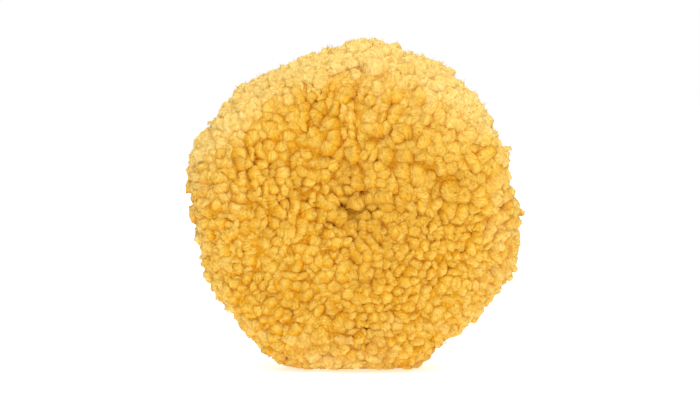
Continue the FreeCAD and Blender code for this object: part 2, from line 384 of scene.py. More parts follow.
@dataclass(frozen=True)
class ThreadFinish:
    """Twisted polyester sewing thread."""

    colour: Colour = (0.84, 0.72, 0.48)
    shadow: Colour = (0.50, 0.38, 0.20)
    ply_scale: float = 420.0
    unevenness: float = 1.2
    relief: float = 0.12 * MM

    def material(self) -> bpy.types.Material:
        """Builds slanted plies that follow the object's coordinates."""
        sketch = NodeSketch("sewing_thread")
        wave = sketch.add("TexWave", wave_type="BANDS", bands_direction="DIAGONAL")
        wave.inputs["Scale"].default_value = self.ply_scale
        wave.inputs["Distortion"].default_value = self.unevenness
        sketch.link(sketch.objects_vector(), wave.inputs["Vector"])
        ply = wave.outputs["Fac"]
        sketch.link(sketch.ramp(ply, ((0.1, self.shadow), (0.6, self.colour))),
                    sketch.shader.inputs["Base Color"])
        sketch.set(Roughness=0.6, Sheen_Weight=0.1)
        sketch.bump(ply, self.relief)
        return sketch.material


@dataclass(frozen=True)
class MetalFinish:
    """Plated or brushed steel, with handling marks and uneven roughness."""

    name: str
    base: Colour
    roughness: float
    brush: tuple[float, float, float]
    stain: Colour
    most_stain: float = 0.55
    patch_scale: float = 140.0
    patch_roughness: float = 0.25
    relief: float = 0.03 * MM

    def material(self) -> bpy.types.Material:
        """Builds fine brush lines, faint stains and uneven roughness."""
        sketch = NodeSketch(self.name)
        lines = sketch.noise(sketch.objects_vector(self.brush), 1.0, detail=4.0, rough=0.6)
        patches = sketch.noise(sketch.objects_vector(), self.patch_scale, detail=3.0)
        stained = sketch.ramp(patches, ((0.52, grey(0.0)), (0.78, grey(self.most_stain))))
        colour = sketch.mix("MIX", stained, self.base, self.stain)
        sketch.link(colour, sketch.shader.inputs["Base Color"])
        rough = sketch.math("MULTIPLY_ADD", patches, self.patch_roughness)
        rough.node.inputs[2].default_value = self.roughness
        sketch.link(rough, sketch.shader.inputs["Roughness"])
        sketch.set(Metallic=1.0)
        sketch.bump(lines, self.relief, 0.6)
        return sketch.material


@dataclass(frozen=True)
class FibreBoardFinish:
    """Hard red-brown vulcanised fibre."""

    light: Colour = (0.36, 0.13, 0.06)
    dark: Colour = (0.20, 0.07, 0.035)
    speck_scale: float = 700.0
    relief: float = 0.06 * MM

    def material(self) -> bpy.types.Material:
        """Builds speckled board with a slight polish."""
        sketch = NodeSketch("vulcanised_fibre")
        specks = sketch.noise(sketch.objects_vector((1, 3, 1)), self.speck_scale, detail=4.0)
        sketch.link(sketch.ramp(specks, ((0.35, self.dark), (0.62, self.light))),
                    sketch.shader.inputs["Base Color"])
        sketch.set(Roughness=0.55)
        sketch.bump(specks, self.relief)
        return sketch.material


@dataclass(frozen=True)
class FloorFinish:
    """White studio paper, which its own lamps brighten away from the pad."""

    colour: Colour = (0.88, 0.88, 0.88)
    glow: float = 0.60
    glow_near: float = 0.50
    near: float = 0.10
    far: float = 0.50
    tooth_scale: float = 260.0

    def material(self) -> bpy.types.Material:
        """Builds plain paper with a very faint tooth."""
        sketch = NodeSketch("studio_paper")
        tooth = sketch.noise(sketch.objects_vector(), self.tooth_scale, detail=2.0)
        grain = sketch.ramp(tooth, ((0.3, grey(0.9)), (0.7, WHITE)))
        sketch.link(sketch.mix("MULTIPLY", 0.03, self.colour, grain), sketch.shader.inputs["Base Color"])
        sketch.set(Roughness=0.8, Specular_IOR_Level=0.1, Emission_Color=(1.0, 1.0, 1.0, 1.0))
        length = sketch.add("VectorMath", operation="LENGTH")
        sketch.link(sketch.objects_vector(), length.inputs[0])
        rise = sketch.add("MapRange", interpolation_type="SMOOTHSTEP")
        limits = {"From Min": self.near, "From Max": self.far, "To Min": self.glow_near, "To Max": self.glow}
        for key, value in limits.items():
            rise.inputs[key].default_value = value
        sketch.link(length.outputs["Value"], rise.inputs["Value"])
        sketch.link(rise.outputs["Result"], sketch.shader.inputs["Emission Strength"])
        return sketch.material


# The pad's form


@dataclass(frozen=True)
class Bulge:
    """A stretch of the rim where the wool stands out or is pressed in."""

    clock: float        # degrees clockwise from the top, seen from the front
    spread: float       # degrees to each side
    height: float       # outwards

    def at(self, clock: float) -> float:
        """How far the wool is pushed out at a place on the clock."""
        away = (clock - self.clock + 180.0) % 360.0 - 180.0
        return self.height * math.exp(-((away / self.spread) ** 2))


@dataclass
class PadForm:
    """The outside of the wool, and where each part of it is rooted on the cloth."""

    radius: float
    face_depth: float
    cloth_depth: float
    cloth_radius: float
    washer_radius: float
    floor_z: float
    edge_round: float = 29 * MM
    centre_dip: float = 3.5 * MM
    centre_dip_radius: float = 21 * MM
    unevenness: float = 1.6 * MM
    unevenness_scale: float = 28.0
    clumps: float = 1.9 * MM
    clumps_scale: float = 75.0
    side_shift: float = 0.3         # between the noise of the two sides
    bulge_power: float = 1.5        # over 1, so that a bulge grows mostly near the mid-plane
    most_turn: float = 0.98         # keeps a root off the very edge of the cloth's fold
    bulges: tuple[Bulge, ...] = (
        Bulge(337, 14, -5.0 * MM), Bulge(6, 11, 3.0 * MM), Bulge(31, 7, 2.5 * MM), Bulge(48, 7, 2.5 * MM),
        Bulge(58, 14, -3.6 * MM), Bulge(80, 8, -4.5 * MM), Bulge(108, 10, 3.5 * MM),
        Bulge(148, 8, -5.0 * MM), Bulge(159, 10, 6.5 * MM), Bulge(200, 14, 6.5 * MM),
        Bulge(262, 14, -4.5 * MM), Bulge(287, 11, 6.0 * MM), Bulge(315, 9, 1.5 * MM),
        Bulge(230, 7, -3.0 * MM),
    )

    @classmethod
    def from_frame(cls) -> "PadForm":
        """Reads the form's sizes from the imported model.

        Returns:
            The form.
        """
        rim_low, rim_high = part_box("front_rim_tufts")
        cloth_low, cloth_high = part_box("front_backing_cloth")
        washer_low, washer_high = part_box("front_hub_washer")
        return cls(
            radius=(rim_high[0] - rim_low[0]) / 2,
            face_depth=-rim_low[1],
            cloth_depth=-cloth_low[1],
            cloth_radius=(cloth_high[0] - cloth_low[0]) / 2,
            washer_radius=(washer_high[0] - washer_low[0]) / 2,
            floor_z=rim_low[2],
        )

    @property
    def plateau(self) -> float:
        """The radius where the flat face turns into the rim."""
        return self.radius - self.edge_round

    @property
    def shoulder(self) -> float:
        """The mean radius of the rim's quarter turn."""
        return (self.edge_round + self.face_depth) / 2

    @property
    def reach(self) -> float:
        """The way over the wool from the hub's axis to the mid-plane."""
        return self.plateau + self.shoulder * math.pi / 2

    def surface(self, x: float, z: float, side: Side) -> tuple[Vector, Vector]:
        """Wraps a place on the flattened-out wool round the pad.

        Args:
            x: Across, on the flattened disc.
            z: Up, on the flattened disc.
            side: The disc's side.

        Returns:
            The place on the wool's outside, and the way out there.
        """
        way = math.hypot(x, z)
        angle = math.atan2(z, x)
        clock = math.degrees(math.atan2(x, z)) % 360.0
        turn = max(0.0, (way - self.plateau) / self.shoulder)
        flat = min(way, self.plateau)
        out = 0.0
        if turn > 0.0:
            grown = math.sin(min(turn, math.pi / 2)) ** self.bulge_power
            out = sum(b.at(clock) for b in self.bulges) * grown
        r = flat + self.edge_round * math.sin(turn) + out
        depth = self.face_depth * math.cos(turn)
        dip = max(0.0, 1.0 - way / self.centre_dip_radius)
        depth -= self.centre_dip * dip * dip
        spot = Vector((x, z, side.value * self.side_shift))
        wave = noise.noise(spot * self.unevenness_scale) * self.unevenness
        wave += noise.noise(spot * self.clumps_scale) * self.clumps
        normal = Vector((math.cos(angle) * math.sin(turn), side.value * math.cos(turn),
                         math.sin(angle) * math.sin(turn))).normalized()
        point = Vector((math.cos(angle) * r, side.value * depth, math.sin(angle) * r))
        return point + normal * wave, normal

    def root(self, r: float, angle: float, side: Side) -> tuple[Vector, Vector]:
        """A place on the backing cloth, which turns in round its fold at the rim.

        Args:
            r: Distance from the hub's axis.
            angle: Round the axis, anticlockwise from +X.
            side: The cloth.

        Returns:
            The place on the cloth, and the way out of it.
        """
        fold = self.cloth_depth / 2
        past = min(max(r - (self.cloth_radius - fold), 0.0) / fold, self.most_turn)
        depth = fold + math.sqrt(1.0 - past * past) * fold
        spread = Vector((math.cos(angle), 0.0, math.sin(angle)))
        out = (spread * past + Vector((0.0, side.value * math.sqrt(1 - past * past), 0.0))).normalized()
        return spread * r + Vector((0.0, side.value * depth, 0.0)), out


def spun_mesh(name: str, section: list[tuple[float, float]], closed: bool, steps: int) -> bpy.types.Mesh:
    """Turns a half section once round the hub's axis.

    Args:
        name: The mesh's name.
        section: Points of the half section, each its distance from the axis and its Y.
        closed: Whether the last point joins the first.
        steps: Flat facets in a full turn.

    Returns:
        The mesh, its normals outwards.
    """
    bm = bmesh.new()
    verts = [bm.verts.new((r, y, 0)) for r, y in section]
    pairs = list(zip(verts, verts[1:])) + ([(verts[-1], verts[0])] if closed else [])
    edges = [bm.edges.new(pair) for pair in pairs]
    bmesh.ops.spin(bm, geom=verts + edges, cent=(0, 0, 0), axis=(0, 1, 0), dvec=(0, 0, 0),
                   angle=math.tau, steps=steps, use_merge=True, use_duplicate=False)
    bmesh.ops.remove_doubles(bm, verts=bm.verts[:], dist=TINY)
    bmesh.ops.recalc_face_normals(bm, faces=bm.faces[:])
    mesh = bpy.data.meshes.new(name)
    bm.to_mesh(mesh)
    bm.free()
    return mesh


def placed(name: str, mesh: bpy.types.Mesh, finish: bpy.types.Material) -> bpy.types.Object:
    """Puts a mesh in the scene as a smooth piece with one finish.

    Args:
        name: The piece's name.
        mesh: Its mesh.
        finish: Its material.

    Returns:
        The piece.
    """
    mesh.shade_smooth()
    mesh.materials.append(finish)
    piece = bpy.data.objects.new(name, mesh)
    bpy.context.scene.collection.objects.link(piece)
    return piece


# Wool


@dataclass(frozen=True)
class Strands:
    """The loose strands that stand out of a tuft's head: how many, and their sizes in head radii."""

    count: int
    thick: float
    long: float


STRANDS = {
    TuftKind.PLAIN: Strands(5, 0.045, 0.50),
    TuftKind.FLUFFY: Strands(9, 0.050, 0.72),
    TuftKind.WISP: Strands(10, 0.050, 0.90),
}


@dataclass(frozen=True)
class TuftPattern:
    """One tuft's shape before it is bent: a stalk that hangs down from its cut end.

    X and Y run across the tuft, as shares of its own outline. Z is the way down from the cut end in
    head radii, and the last ring stands for the root, however far down that is.
    """

    kind: TuftKind
    seed: int
    sides: int = 8
    rings: tuple[tuple[float, float], ...] = (
        (0.05, 0.42), (0.16, 0.74), (0.30, 1.00), (0.52, 1.27), (0.88, 1.52), (6.5, 0.45),
    )
    thick_range: tuple[float, float] = (0.7, 1.2)
    long_range: tuple[float, float] = (0.6, 1.1)
    tilt_range: tuple[float, float] = (0.35, 1.40)
    strand_lift: float = 0.4        # of its own length, so that its foot is sunk in the head
    foot_turn: float = 1.1          # how much faster than its tilt a strand's foot goes round the head
    foot_reach: float = 0.78
    foot_drop: tuple[float, float] = (0.10, 0.30)

    def build(self) -> "TuftMesh":
        """Makes the pattern's mesh and reads its places.

        Returns:
            The mesh, with what the placing of a tuft needs.
        """
        rng = random.Random(self.seed)
        bm = bmesh.new()
        self._body(bm)
        body_count = len(bm.verts)
        strands = STRANDS[self.kind]
        for _ in range(strands.count):
            thick = strands.thick * rng.uniform(*self.thick_range)
            self._strand(bm, rng, thick, strands.long * rng.uniform(*self.long_range))
        bmesh.ops.recalc_face_normals(bm, faces=bm.faces[:])
        mesh = bpy.data.meshes.new(f"tuft_{self.kind.value}_{self.seed}")
        bm.to_mesh(mesh)
        places = np.array([v.co[:] for v in bm.verts])
        bm.free()
        return TuftMesh(mesh, places, body_count, self.rings[-1][0])

    def _body(self, bm: bmesh.types.BMesh) -> None:
        """Draws the stalk from its root cap up to its rounded cut end."""
        levels = [(-down, width) for down, width in reversed(self.rings)]
        height, width = levels[0]
        ring = bmesh.ops.create_circle(bm, cap_ends=True, segments=self.sides, radius=width)["verts"]
        bmesh.ops.translate(bm, verts=ring, vec=(0, 0, height))
        edges = bm.edges[:]
        for next_height, next_width in levels[1:]:
            grown = bmesh.ops.extrude_edge_only(bm, edges=edges)["geom"]
            verts = [g for g in grown if isinstance(g, bmesh.types.BMVert)]
            edges = [g for g in grown if isinstance(g, bmesh.types.BMEdge)]
            taper = next_width / width
            bmesh.ops.scale(bm, verts=verts, vec=(taper, taper, 1.0))
            bmesh.ops.translate(bm, verts=verts, vec=(0, 0, next_height - height))
            height, width = next_height, next_width
        cap = bmesh.ops.edgeloop_fill(bm, edges=edges)["faces"]
        crown = bmesh.ops.poke(bm, faces=cap)["verts"]
        bmesh.ops.translate(bm, verts=crown, vec=(0, 0, -height))

    def _strand(self, bm: bmesh.types.BMesh, rng: random.Random, thick: float, long: float) -> None:
        """Adds one loose strand that stands out of the head.

        Args:
            bm: Where it is drawn.
            rng: The pattern's own random numbers.
            thick: The radius of its foot, in head radii.
            long: Its length, in head radii.
        """
        verts = bmesh.ops.create_cone(bm, cap_ends=True, segments=3, radius1=thick,
                                      radius2=0.0, depth=long)["verts"]
        bmesh.ops.translate(bm, verts=verts, vec=(0, 0, self.strand_lift * long))
        turn = rng.uniform(0, math.tau)
        tilt = rng.uniform(*self.tilt_range)
        lean = Vector((math.sin(tilt) * math.cos(turn), math.sin(tilt) * math.sin(turn), math.cos(tilt)))
        spin = Vector((0, 0, 1)).rotation_difference(lean).to_matrix()
        bmesh.ops.rotate(bm, verts=verts, cent=(0, 0, 0), matrix=spin)
        reach = math.sin(min(tilt * self.foot_turn, math.pi / 2)) * self.foot_reach
        least, more = self.foot_drop
        foot = (math.cos(turn) * reach, math.sin(turn) * reach, -least - more * reach * reach)
        bmesh.ops.translate(bm, verts=verts, vec=foot)


@dataclass
class TuftMesh:
    """A pattern's mesh, and its places as rows of across, across and down."""

    mesh: bpy.types.Mesh
    places: np.ndarray
    body_count: int
    root_down: float


@dataclass
class GrownWool:
    """Wool in its place, with what its material and its map read at each vertex."""

    places: np.ndarray
    depth: np.ndarray
    tone: np.ndarray
    yarn: np.ndarray
    spots: np.ndarray


@dataclass(frozen=True)
class MapLayout:
    """How a zone's wool shares its map: the underwool along the foot, the tufts in squares above it."""

    tufts: int
    foot: float = 0.30
    square_reach: float = 0.46      # the most that a tuft takes of its square, from the middle
    square_power: float = 0.45      # under 1, so that the cut end gets more room than the stalk
    disc_reach: float = 0.48
    outside_share: float = 0.96
    inside_share: float = 0.5
    inside_start: float = 1.1

    @property
    def columns(self) -> int:
        """Squares in a row."""
        return math.ceil(math.sqrt(self.tufts / (1.0 - self.foot)) + 0.5)

    def tuft_spots(self, number: int, pattern: TuftMesh) -> np.ndarray:
        """Lays a tuft out in its own square, as seen from its cut end.

        Args:
            number: The tuft's number in the zone.
            pattern: Its pattern.

        Returns:
            Each vertex's place on the map.
        """
        corner = np.array([number % self.columns, number // self.columns], dtype=float)
        down = np.clip(-pattern.places[:, 2], 0.0, pattern.root_down) / pattern.root_down
        angle = np.arctan2(pattern.places[:, 1], pattern.places[:, 0])
        out = (self.square_reach * down ** self.square_power)[:, None]
        spot = 0.5 + np.stack([np.cos(angle), np.sin(angle)], axis=1) * out
        return (corner + spot) / self.columns + np.array([0.0, self.foot])

    def under_spots(self, flat: np.ndarray, inner: np.ndarray, reach: float) -> np.ndarray:
        """Lays the underwool's outside out as a disc, and its inside as a smaller one beside it.

        Args:
            flat: Each vertex's place across and up the flattened disc.
            inner: Whether each vertex is on the inside.
            reach: The flattened disc's radius.

        Returns:
            Each vertex's place on the map.
        """
        spot = 0.5 + self.disc_reach * flat / reach
        beside = np.array([self.foot * self.inside_start, 0.0])
        return np.where(inner[:, None], spot * self.foot * self.inside_share + beside,
                        spot * self.foot * self.outside_share)


@dataclass
class Tuft:
    """One tuft in its place."""

    root: Vector
    root_way: Vector
    tip: Vector
    tip_way: Vector
    roll: float
    tone: float
    seed: int
    size: float = 1.0
    spread: float = 1.0
    stretch: float = 0.0
    shade: float = 1.0
    kind: TuftKind = TuftKind.PLAIN
    barriers: tuple[Vector, ...] = ()
    outline: np.ndarray = field(default_factory=lambda: np.full(OUTLINE_STEPS, 3.0 * MM))
    lump: float = 1.4 * MM
    lump_scale: float = 330.0
    lump_step: float = 1.7          # from one tuft's lumps to the next one's, as a shift of the noise
    warp: float = 1.8 * MM
    warp_scale: float = 120.0
    steady_root: float = 0.6        # share of the length over which the lumps fade
    flat_yarn: float = 0.3
    long_yarn: float = 0.16
    yarn_steps: int = 977
    yarn_step: float = 7.31
    knee: float = 0.45
    hip: float = 0.30

    def across(self) -> tuple[Vector, Vector]:
        """Two ways across the cut end, at right angles."""
        first = self.tip_way.orthogonal().normalized()
        return first, self.tip_way.cross(first)

    def grow(self, pattern: TuftMesh, spots: np.ndarray) -> GrownWool:
        """Bends a pattern's places along this tuft.

        Args:
            pattern: The tuft's pattern.
            spots: The tuft's places on the map.

        Returns:
            The tuft in its place.
        """
        length = (self.tip - self.root).length
        steps = -pattern.places[:, 2]
        body = np.arange(len(steps)) < pattern.body_count
        at_root = body & (steps >= pattern.root_down - TINY)
        down = np.minimum(np.where(at_root, length, steps * float(self.outline.mean())), length)
        centre, way = self._spine(1.0 - down / length, length)
        guide = np.array(self.across()[0])
        first = guide - way * (way @ guide)[:, None]
        first /= np.linalg.norm(first, axis=1)[:, None] + NOTHING
        second = np.cross(way, first)
        x, y = self._section(pattern.places, steps)
        c, s = math.cos(self.roll), math.sin(self.roll)
        places = centre + first * (x * c - y * s)[:, None] + second * (x * s + y * c)[:, None]
        hold = np.clip(1.2 - down / (self.steady_root * length), 0.1, 1.0)
        places = places + self._lumps(places) * hold[:, None]
        yarn = np.stack([x, y * self.flat_yarn, -down * self.long_yarn], axis=1) * YARN_SCALE
        yarn = yarn + (self.seed % self.yarn_steps) * self.yarn_step
        return GrownWool(places, down * self.shade, np.full(len(places), self.tone), yarn, spots)

    def _section(self, pattern_places: np.ndarray, steps: np.ndarray) -> tuple[np.ndarray, np.ndarray]:
        """Gives the pattern's round section this tuft's own outline, rounder further down.

        Args:
            pattern_places: The pattern's places.
            steps: The way down to each, in head radii.

        Returns:
            Each vertex's place across the tuft, both ways.
        """
        mean = float(self.outline.mean())
        turn = np.arctan2(pattern_places[:, 1], pattern_places[:, 0])
        share = np.hypot(pattern_places[:, 0], pattern_places[:, 1])
        edge = np.interp(turn % math.tau, OUTLINE_ANGLES, self.outline, period=math.tau)
        edge = mean + (edge - mean) * np.clip(1.1 - 0.15 * steps, 0.15, 1.0)
        return np.cos(turn) * share * edge, np.sin(turn) * share * edge

    def _lumps(self, places: np.ndarray) -> np.ndarray:
        """How far each place is pushed off a smooth shape.

        Args:
            places: The smooth places.

        Returns:
            The push at each: this tuft's own lumps, and a warp that its neighbours share.
        """
        offset = Vector((self.seed * self.lump_step, 0, 0))
        return np.array([(noise.noise_vector(Vector(p) * self.lump_scale + offset) * self.lump
                          + noise.noise_vector(Vector(p) * self.warp_scale) * self.warp)[:] for p in places])

    def _spine(self, along: np.ndarray, length: float) -> tuple[np.ndarray, np.ndarray]:
        """The tuft's middle line.

        Args:
            along: Places on it, from 0 at the root to 1 at the cut end or a little past it.
            length: The straight way from the root to the cut end.

        Returns:
            The points there, and the line's way at each.
        """
        knee = self.tip - self.tip_way * length * self.knee
        hip = self.root + self.root_way * length * self.hip
        p0, p1, p2, p3 = (np.array(p) for p in (self.root, hip, knee, self.tip))
        t = np.clip(along, 0.0, 1.0)[:, None]
        centre = ((1 - t) ** 3) * p0 + 3 * ((1 - t) ** 2) * t * p1 + 3 * (1 - t) * t * t * p2 + t ** 3 * p3
        way = ((1 - t) ** 2) * (p1 - p0) + 2 * (1 - t) * t * (p2 - p1) + t * t * (p3 - p2)
        way /= np.linalg.norm(way, axis=1)[:, None] + NOTHING
        return centre + way * (np.maximum(along - 1.0, 0.0) * length)[:, None], way


class Crowd:
    """All the cut ends together, so that each can fill the room that its neighbours leave."""

    widest: float = 5.4 * MM
    narrowest: float = 1.2 * MM
    nearest: float = 1.2 * MM       # a cut end nearer than this doesn't press
    search: float = 14 * MM
    least_facing: float = 0.1       # cosine: past this a neighbour is too far round to press
    rounding: tuple[float, float] = (0.64, 0.18)    # weight of an angle, and of each one beside it

    def __init__(self, tufts: list[Tuft], hollows: list[Vector], hollow_size: float) -> None:
        """Files every cut end by its place.

        Args:
            tufts: All the tufts of the pad.
            hollows: Places where there is no tuft and the wool stays open.
            hollow_size: A hollow's size beside a tuft's 1.
        """
        self.tufts = tufts
        self.sizes = [t.size for t in tufts] + [hollow_size] * len(hollows)
        self.tree = kdtree.KDTree(len(self.sizes))
        for number, place in enumerate([t.tip for t in tufts] + hollows):
            self.tree.insert(place, number)
        self.tree.balance()

    def press(self) -> None:
        """Gives every tuft the outline that its neighbours press it into."""
        for number, tuft in enumerate(self.tufts):
            near = [(place, self.sizes[other])
                    for place, other, _ in self.tree.find_range(tuft.tip, self.search) if other != number]
            near += [(place, tuft.size) for place in tuft.barriers]
            tuft.outline = self._outline(tuft, near)

    def _outline(self, tuft: Tuft, near: list[tuple[Vector, float]]) -> np.ndarray:
        """How far a cut end reaches each way before it meets another.

        Args:
            tuft: The tuft.
            near: The places and sizes of what is round it.

        Returns:
            Its radii, at OUTLINE_ANGLES.
        """
        first, second = tuft.across()
        reach = np.full(OUTLINE_STEPS, self.widest * tuft.size)
        for place, size in near:
            offset = place - tuft.tip
            u, v = offset.dot(first), offset.dot(second)
            flat = math.hypot(u, v)
            if flat < self.nearest:
                continue
            facing = np.cos(OUTLINE_ANGLES + tuft.roll - math.atan2(v, u))
            limit = flat * tuft.size / (tuft.size + size) / np.maximum(facing, self.least_facing)
            reach = np.where(facing > self.least_facing, np.minimum(reach, limit), reach)
        longer = 1.0 + tuft.stretch * np.cos(2.0 * OUTLINE_ANGLES)
        reach = np.maximum(reach * tuft.spread * longer, self.narrowest)
        own, beside = self.rounding
        return own * reach + beside * (np.roll(reach, 1) + np.roll(reach, -1))


@dataclass
class ZoneSpan:
    """A ring of tufts: from and to, over the wool and on the cloth."""

    name: str
    tips: tuple[float, float]
    roots: tuple[float, float]


@dataclass
class TuftPlan:
    """Where every tuft of one side stands, in rows on the flattened-out wool."""

    form: PadForm
    side: Side
    pitch: float = 7.0 * MM
    row_share: float = 0.86
    row_shift: float = 0.15
    stray: tuple[float, float] = (0.13, 0.12)       # across and up, as shares of the pitch
    drift_mm: float = 3.4
    drift_scale: float = 22.0
    rim_clear: float = 2.2 * MM
    part_foot: tuple[float, float] = (3.5 * MM, 12 * MM)
    part_head: tuple[float, float] = (-3.2 * MM, 88 * MM)
    part_wave: float = 0.9 * MM
    part_turns: float = 9.0
    part_clear: float = 3.1 * MM
    part_open: float = 0.95 * MM
    part_depth: float = 2.4 * MM
    part_width: float = 0.8 * MM
    gap_clear: float = 3.3 * MM
    pit_depth: float = 7.0 * MM
    pit_radius: float = 3.0 * MM

    def __post_init__(self) -> None:
        """Sets the side's random numbers, its slit, and the open gaps over the hub that the front has."""
        self.rng = random.Random(41 if self.side is Side.FRONT else 97)
        self.slit = Vector(self.part_foot), Vector(self.part_head)
        front = (Vector((-8.2, 6.5)) * MM, Vector((4.4, 13.0)) * MM, Vector((11.8, 1.5)) * MM)
        self.gaps = front if self.side is Side.FRONT else ()

    def places(self) -> list[tuple[float, float]]:
        """Every tuft's place on the flattened disc."""
        rows: list[tuple[float, float]] = []
        row_pitch = self.pitch * self.row_share
        count = int(self.form.reach / row_pitch) + 2
        for row in range(-count, count + 1):
            start = self.pitch * (0.5 * (row % 2) + self.rng.uniform(-self.row_shift, self.row_shift))
            for column in range(-count, count + 1):
                x = column * self.pitch + start + self.rng.gauss(0, self.stray[0]) * self.pitch
                z = row * row_pitch + self.rng.gauss(0, self.stray[1]) * self.pitch
                flow = noise.noise_vector(Vector((x, z, self.side.value)) * self.drift_scale)
                drift = flow * self.drift_mm * MM
                x, z = x + drift.x, z + drift.y
                if math.hypot(x, z) > self.form.reach - self.rim_clear:
                    continue
                moved = self._part(x, z)
                if all((Vector(moved) - gap).length > self.gap_clear for gap in self.gaps):
                    rows.append(moved)
        return rows

    def line(self, z: float) -> float | None:
        """The closed slit's place across, or None above and below it and on the rear."""
        foot, head = self.slit
        share = (z - foot.y) / (head.y - foot.y)
        if self.side is Side.REAR or not 0.0 <= share <= 1.0:
            return None
        straight = foot.x + (head.x - foot.x) * share
        return straight + self.part_wave * math.sin(share * self.part_turns)

    def pit(self, x: float, z: float) -> float:
        """How much deeper the underwool lies in the hollows over the hub and along the closed slit."""
        near = [((Vector((x, z)) - gap).length / self.pit_radius) ** 2 for gap in self.gaps]
        line = self.line(z)
        groove = 0.0 if line is None else math.exp(-(((x - line) / self.part_width) ** 2)) * self.part_depth
        return groove + self.pit_depth * max((math.exp(-n) for n in near), default=0.0)

    def _part(self, x: float, z: float) -> tuple[float, float]:
        """Moves a tuft off the closed slit, to the side that it grows on."""
        line = self.line(z)
        if line is not None and abs(x - line) < self.part_clear:
            x = line + math.copysign(self.part_clear, x - line)
        return x, z

    def barriers(self, x: float, z: float, tip: Vector) -> tuple[Vector, ...]:
        """What a tuft beside the closed slit meets there.

        Args:
            x: The tuft's place across the flattened disc.
            z: Its place up the flattened disc.
            tip: Its cut end.

        Returns:
            The place of the cut end that it seems to face, if it stands beside the slit.
        """
        line = self.line(z)
        if line is None or abs(x - line) > self.pitch:
            return ()
        away = x - line
        return (tip - Vector((2 * (away - math.copysign(self.part_open, away)), 0, 0)),)


@dataclass(frozen=True)
class Combing:
    """How far the wool of one side is laid over, and which way its tufts lean."""

    side: Side
    rear: float = 0.25
    right: tuple[float, float] = (14 * MM, 14 * MM)     # middle of the change, and its softness
    upper: tuple[float, float] = (8 * MM, 16 * MM)
    patch_scale: float = 20.0
    patch_share: tuple[float, float] = (0.6, 0.8)
    shares: tuple[float, float, float] = (0.12, 0.95, 0.25)     # everywhere, upper right, and upper
    flow_scale: float = 15.0
    flow_out: float = 0.4
    drift: tuple[float, float] = (1.3, 1.6)
    stray: float = 0.30
    hub_reach: float = 34 * MM
    hub_pull: float = 0.55
    most: float = 0.95

    def laid(self, x: float, z: float) -> float:
        """How far the wool is laid over, from 0 to 1. The front's upper right is the most combed."""
        if self.side is Side.REAR:
            return self.rear
        right = 1.0 / (1.0 + math.exp(-(x - self.right[0]) / self.right[1]))
        upper = 1.0 / (1.0 + math.exp(-(z - self.upper[0]) / self.upper[1]))
        patch = 0.5 + 0.5 * noise.noise(Vector((x, z, 11.0)) * self.patch_scale)
        all_over, corner, top = self.shares
        least, more = self.patch_share
        return min(1.0, (all_over + corner * right * upper + top * upper) * (least + more * patch))

    def lean(self, x: float, z: float, normal: Vector, rng: random.Random) -> Vector:
        """How far a tuft's cut end leans, along the wool.

        Args:
            x: Its place across the flattened disc.
            z: Its place up the flattened disc.
            normal: The way out of the wool there.
            rng: The zone's random numbers.

        Returns:
            The lean, as a share of the way out.
        """
        flow = noise.noise_vector(Vector((x, z, 7.0 * self.side.value)) * self.flow_scale)
        least, more = self.drift
        drift = Vector((flow.x, flow.y * self.flow_out, flow.z)) * (least + more * self.laid(x, z))
        lean = drift + Vector((rng.gauss(0, 1), rng.gauss(0, 1), rng.gauss(0, 1))) * self.stray
        centre = math.hypot(x, z)
        if centre < self.hub_reach:
            lean += Vector((-x, 0.0, -z)).normalized() * self.hub_pull * (1.0 - centre / self.hub_reach)
        lean -= normal * lean.dot(normal)
        return lean * min(1.0, self.most / max(lean.length, self.most))


@dataclass(frozen=True)
class Fading:
    """Where the wool opens deeper between its tufts, and its tone: paler in patches by chance and further
    from the hub, with a painted highlight at the top and round the rim and painted shade where it opens.
    """

    side: Side
    cloth_radius: float
    open_reach: float = 34 * MM
    hub_height: float = 4 * MM
    right: tuple[float, float] = (62 * MM, 6 * MM)
    upper: tuple[float, float] = (50 * MM, 50 * MM)     # start of the fuller wool, and how soon it is full
    opening: tuple[float, float, float] = (0.7, 0.55, 0.5)      # mm more at the hub and right, less above
    patch_scale: float = 24.0
    patch_share: float = 0.22
    # Painted light: paler round the rim and on the top, where the light falls most.
    rim_share: float = 0.14
    top_share: float = 0.52
    # Paler further from the hub.
    worn_share: float = 0.20
    ground: float = 0.29
    # Painted shade: darker where the wool opens deeper between its tufts.
    open_share: float = 0.24

    def open(self, x: float, z: float) -> float:
        """How much deeper the wool opens between its tufts, most of all round the hub."""
        hub = math.exp(-(math.hypot(x, z - self.hub_height) / self.open_reach) ** 2)
        right = math.exp(-(math.hypot(x - self.right[0], z - self.right[1]) / self.open_reach) ** 2)
        upper = min(max((z - self.upper[0]) / self.upper[1], 0.0), 1.0)
        at_hub, at_right, above = self.opening
        return (at_hub * hub + at_right * right - above * upper) * MM

    def tone(self, x: float, z: float, normal: Vector) -> float:
        """How pale the wool is, from 0 to 1, without the chance that each tuft adds: paler in patches and
        further from the hub, with a painted highlight at the top and round the rim, and painted shade where
        the wool opens deeper.
        """
        pale = noise.noise(Vector((x, z, 3.0 + self.side.value)) * self.patch_scale)
        # Painted highlight round the rim and at the top.
        rim = self.rim_share * (1.0 - abs(normal.y)) + self.top_share * max(0.0, normal.z)
        further_out = self.worn_share * (math.hypot(x, z) / self.cloth_radius) ** 2
        return self.ground + self.patch_share * pale + rim + further_out - self.open_share * self.open(x, z) / MM


